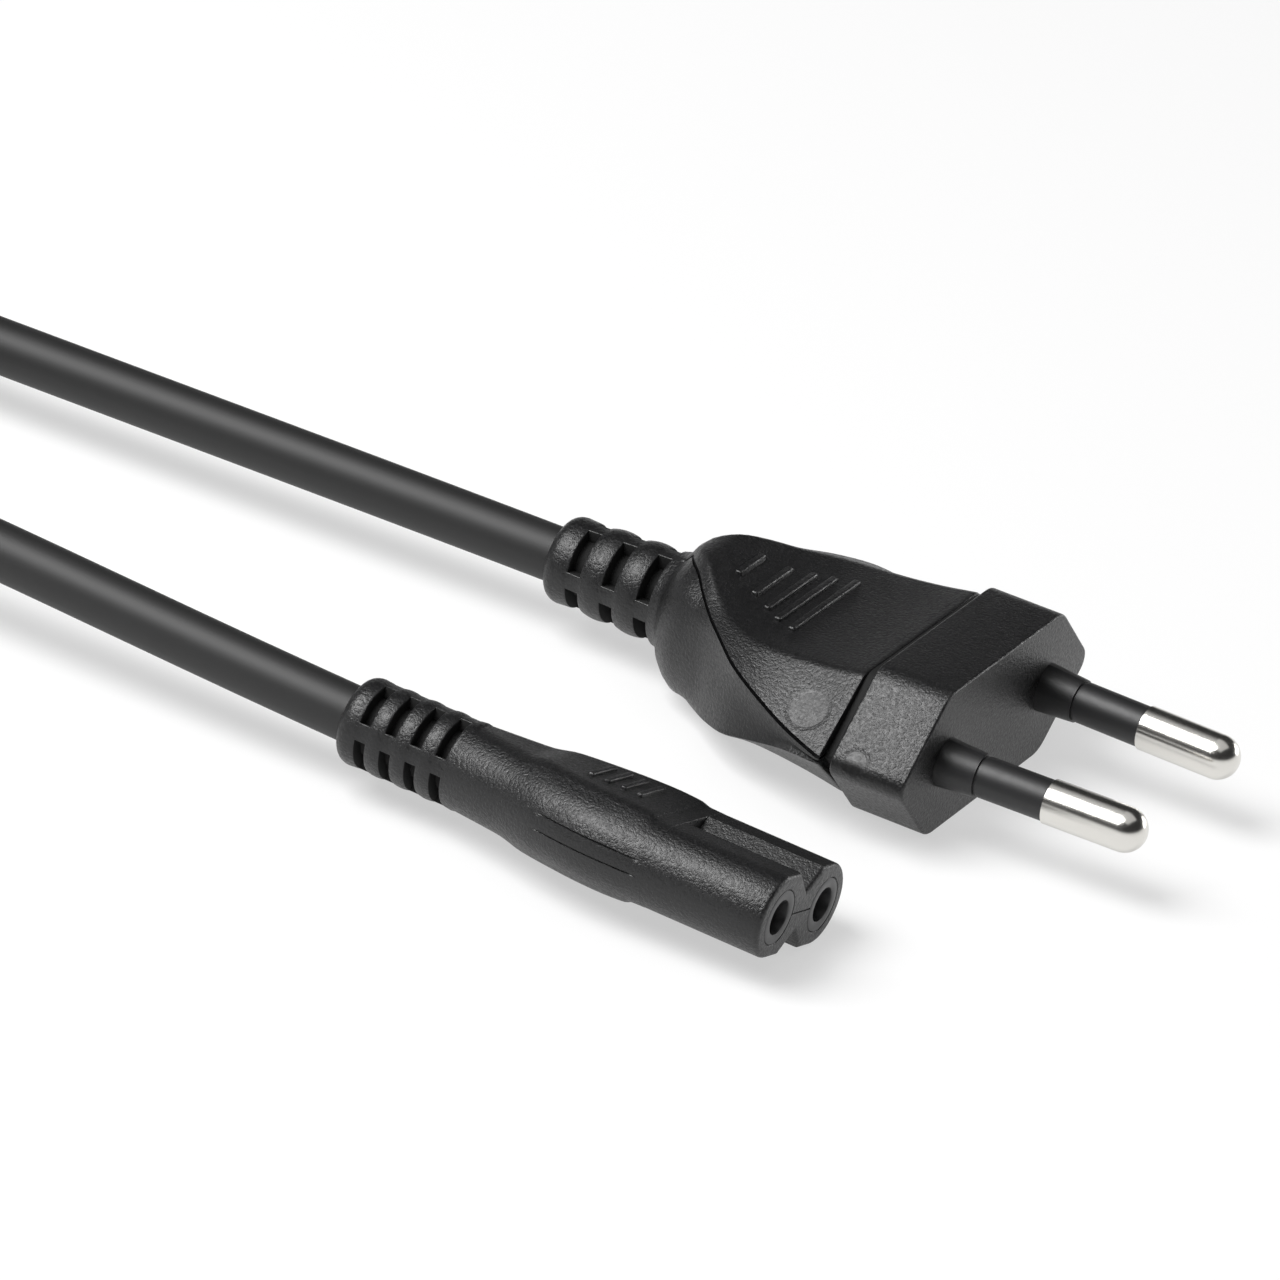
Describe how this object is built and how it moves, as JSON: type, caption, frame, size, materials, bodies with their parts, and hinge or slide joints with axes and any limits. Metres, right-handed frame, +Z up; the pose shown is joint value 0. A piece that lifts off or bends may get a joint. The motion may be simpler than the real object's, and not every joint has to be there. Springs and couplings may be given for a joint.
{
  "type": "figure eight power connector",
  "caption": "Figure-eight mains connector with a slotted strain relief, on a round black cord that ends in a flat two-pin plug.",
  "frame": {"origin": "Bottom centre of the connector's box as it lies on the floor, without the cord and the plug", "axes": "+X runs forward along the connector out of its end face (2 degrees nose down), +Y towards the plug beside it, +Z up"},
  "size_m": [0.2167, 0.086, 0.0137],
  "materials": {
    "moulding": "fine grain, soft sheen",
    "insert": "smooth, satin",
    "bridge": "satin",
    "contact_brass": "bright",
    "core_insulation": "smooth",
    "copper": "bright stranded copper",
    "sleeve": "matt",
    "pin_metal": "nickel plated, bright",
    "jacket": "smooth, soft sheen",
    "tie": "matt strap"
  },
  "bodies": {
    "root": {"connector_housing": "moulding", "connector_insert": "insert", "connector_contact_near": "contact_brass", "connector_contact_far": "contact_brass", "connector_core_near": "core_insulation", "connector_core_far": "core_insulation", "connector_conductor_near": "copper", "connector_conductor_far": "copper", "plug_housing": "moulding", "plug_bridge": "bridge", "pin_near": "pin_metal", "pin_far": "pin_metal", "pin_sleeve_near": "sleeve", "pin_sleeve_far": "sleeve", "plug_core_near": "core_insulation", "plug_core_far": "core_insulation", "plug_conductor_near": "copper", "plug_conductor_far": "copper", "cord_connector_run": "jacket", "cord_plug_run": "jacket", "cord_coil": "jacket", "cord_tie": "tie"}
  },
  "joints": []
}
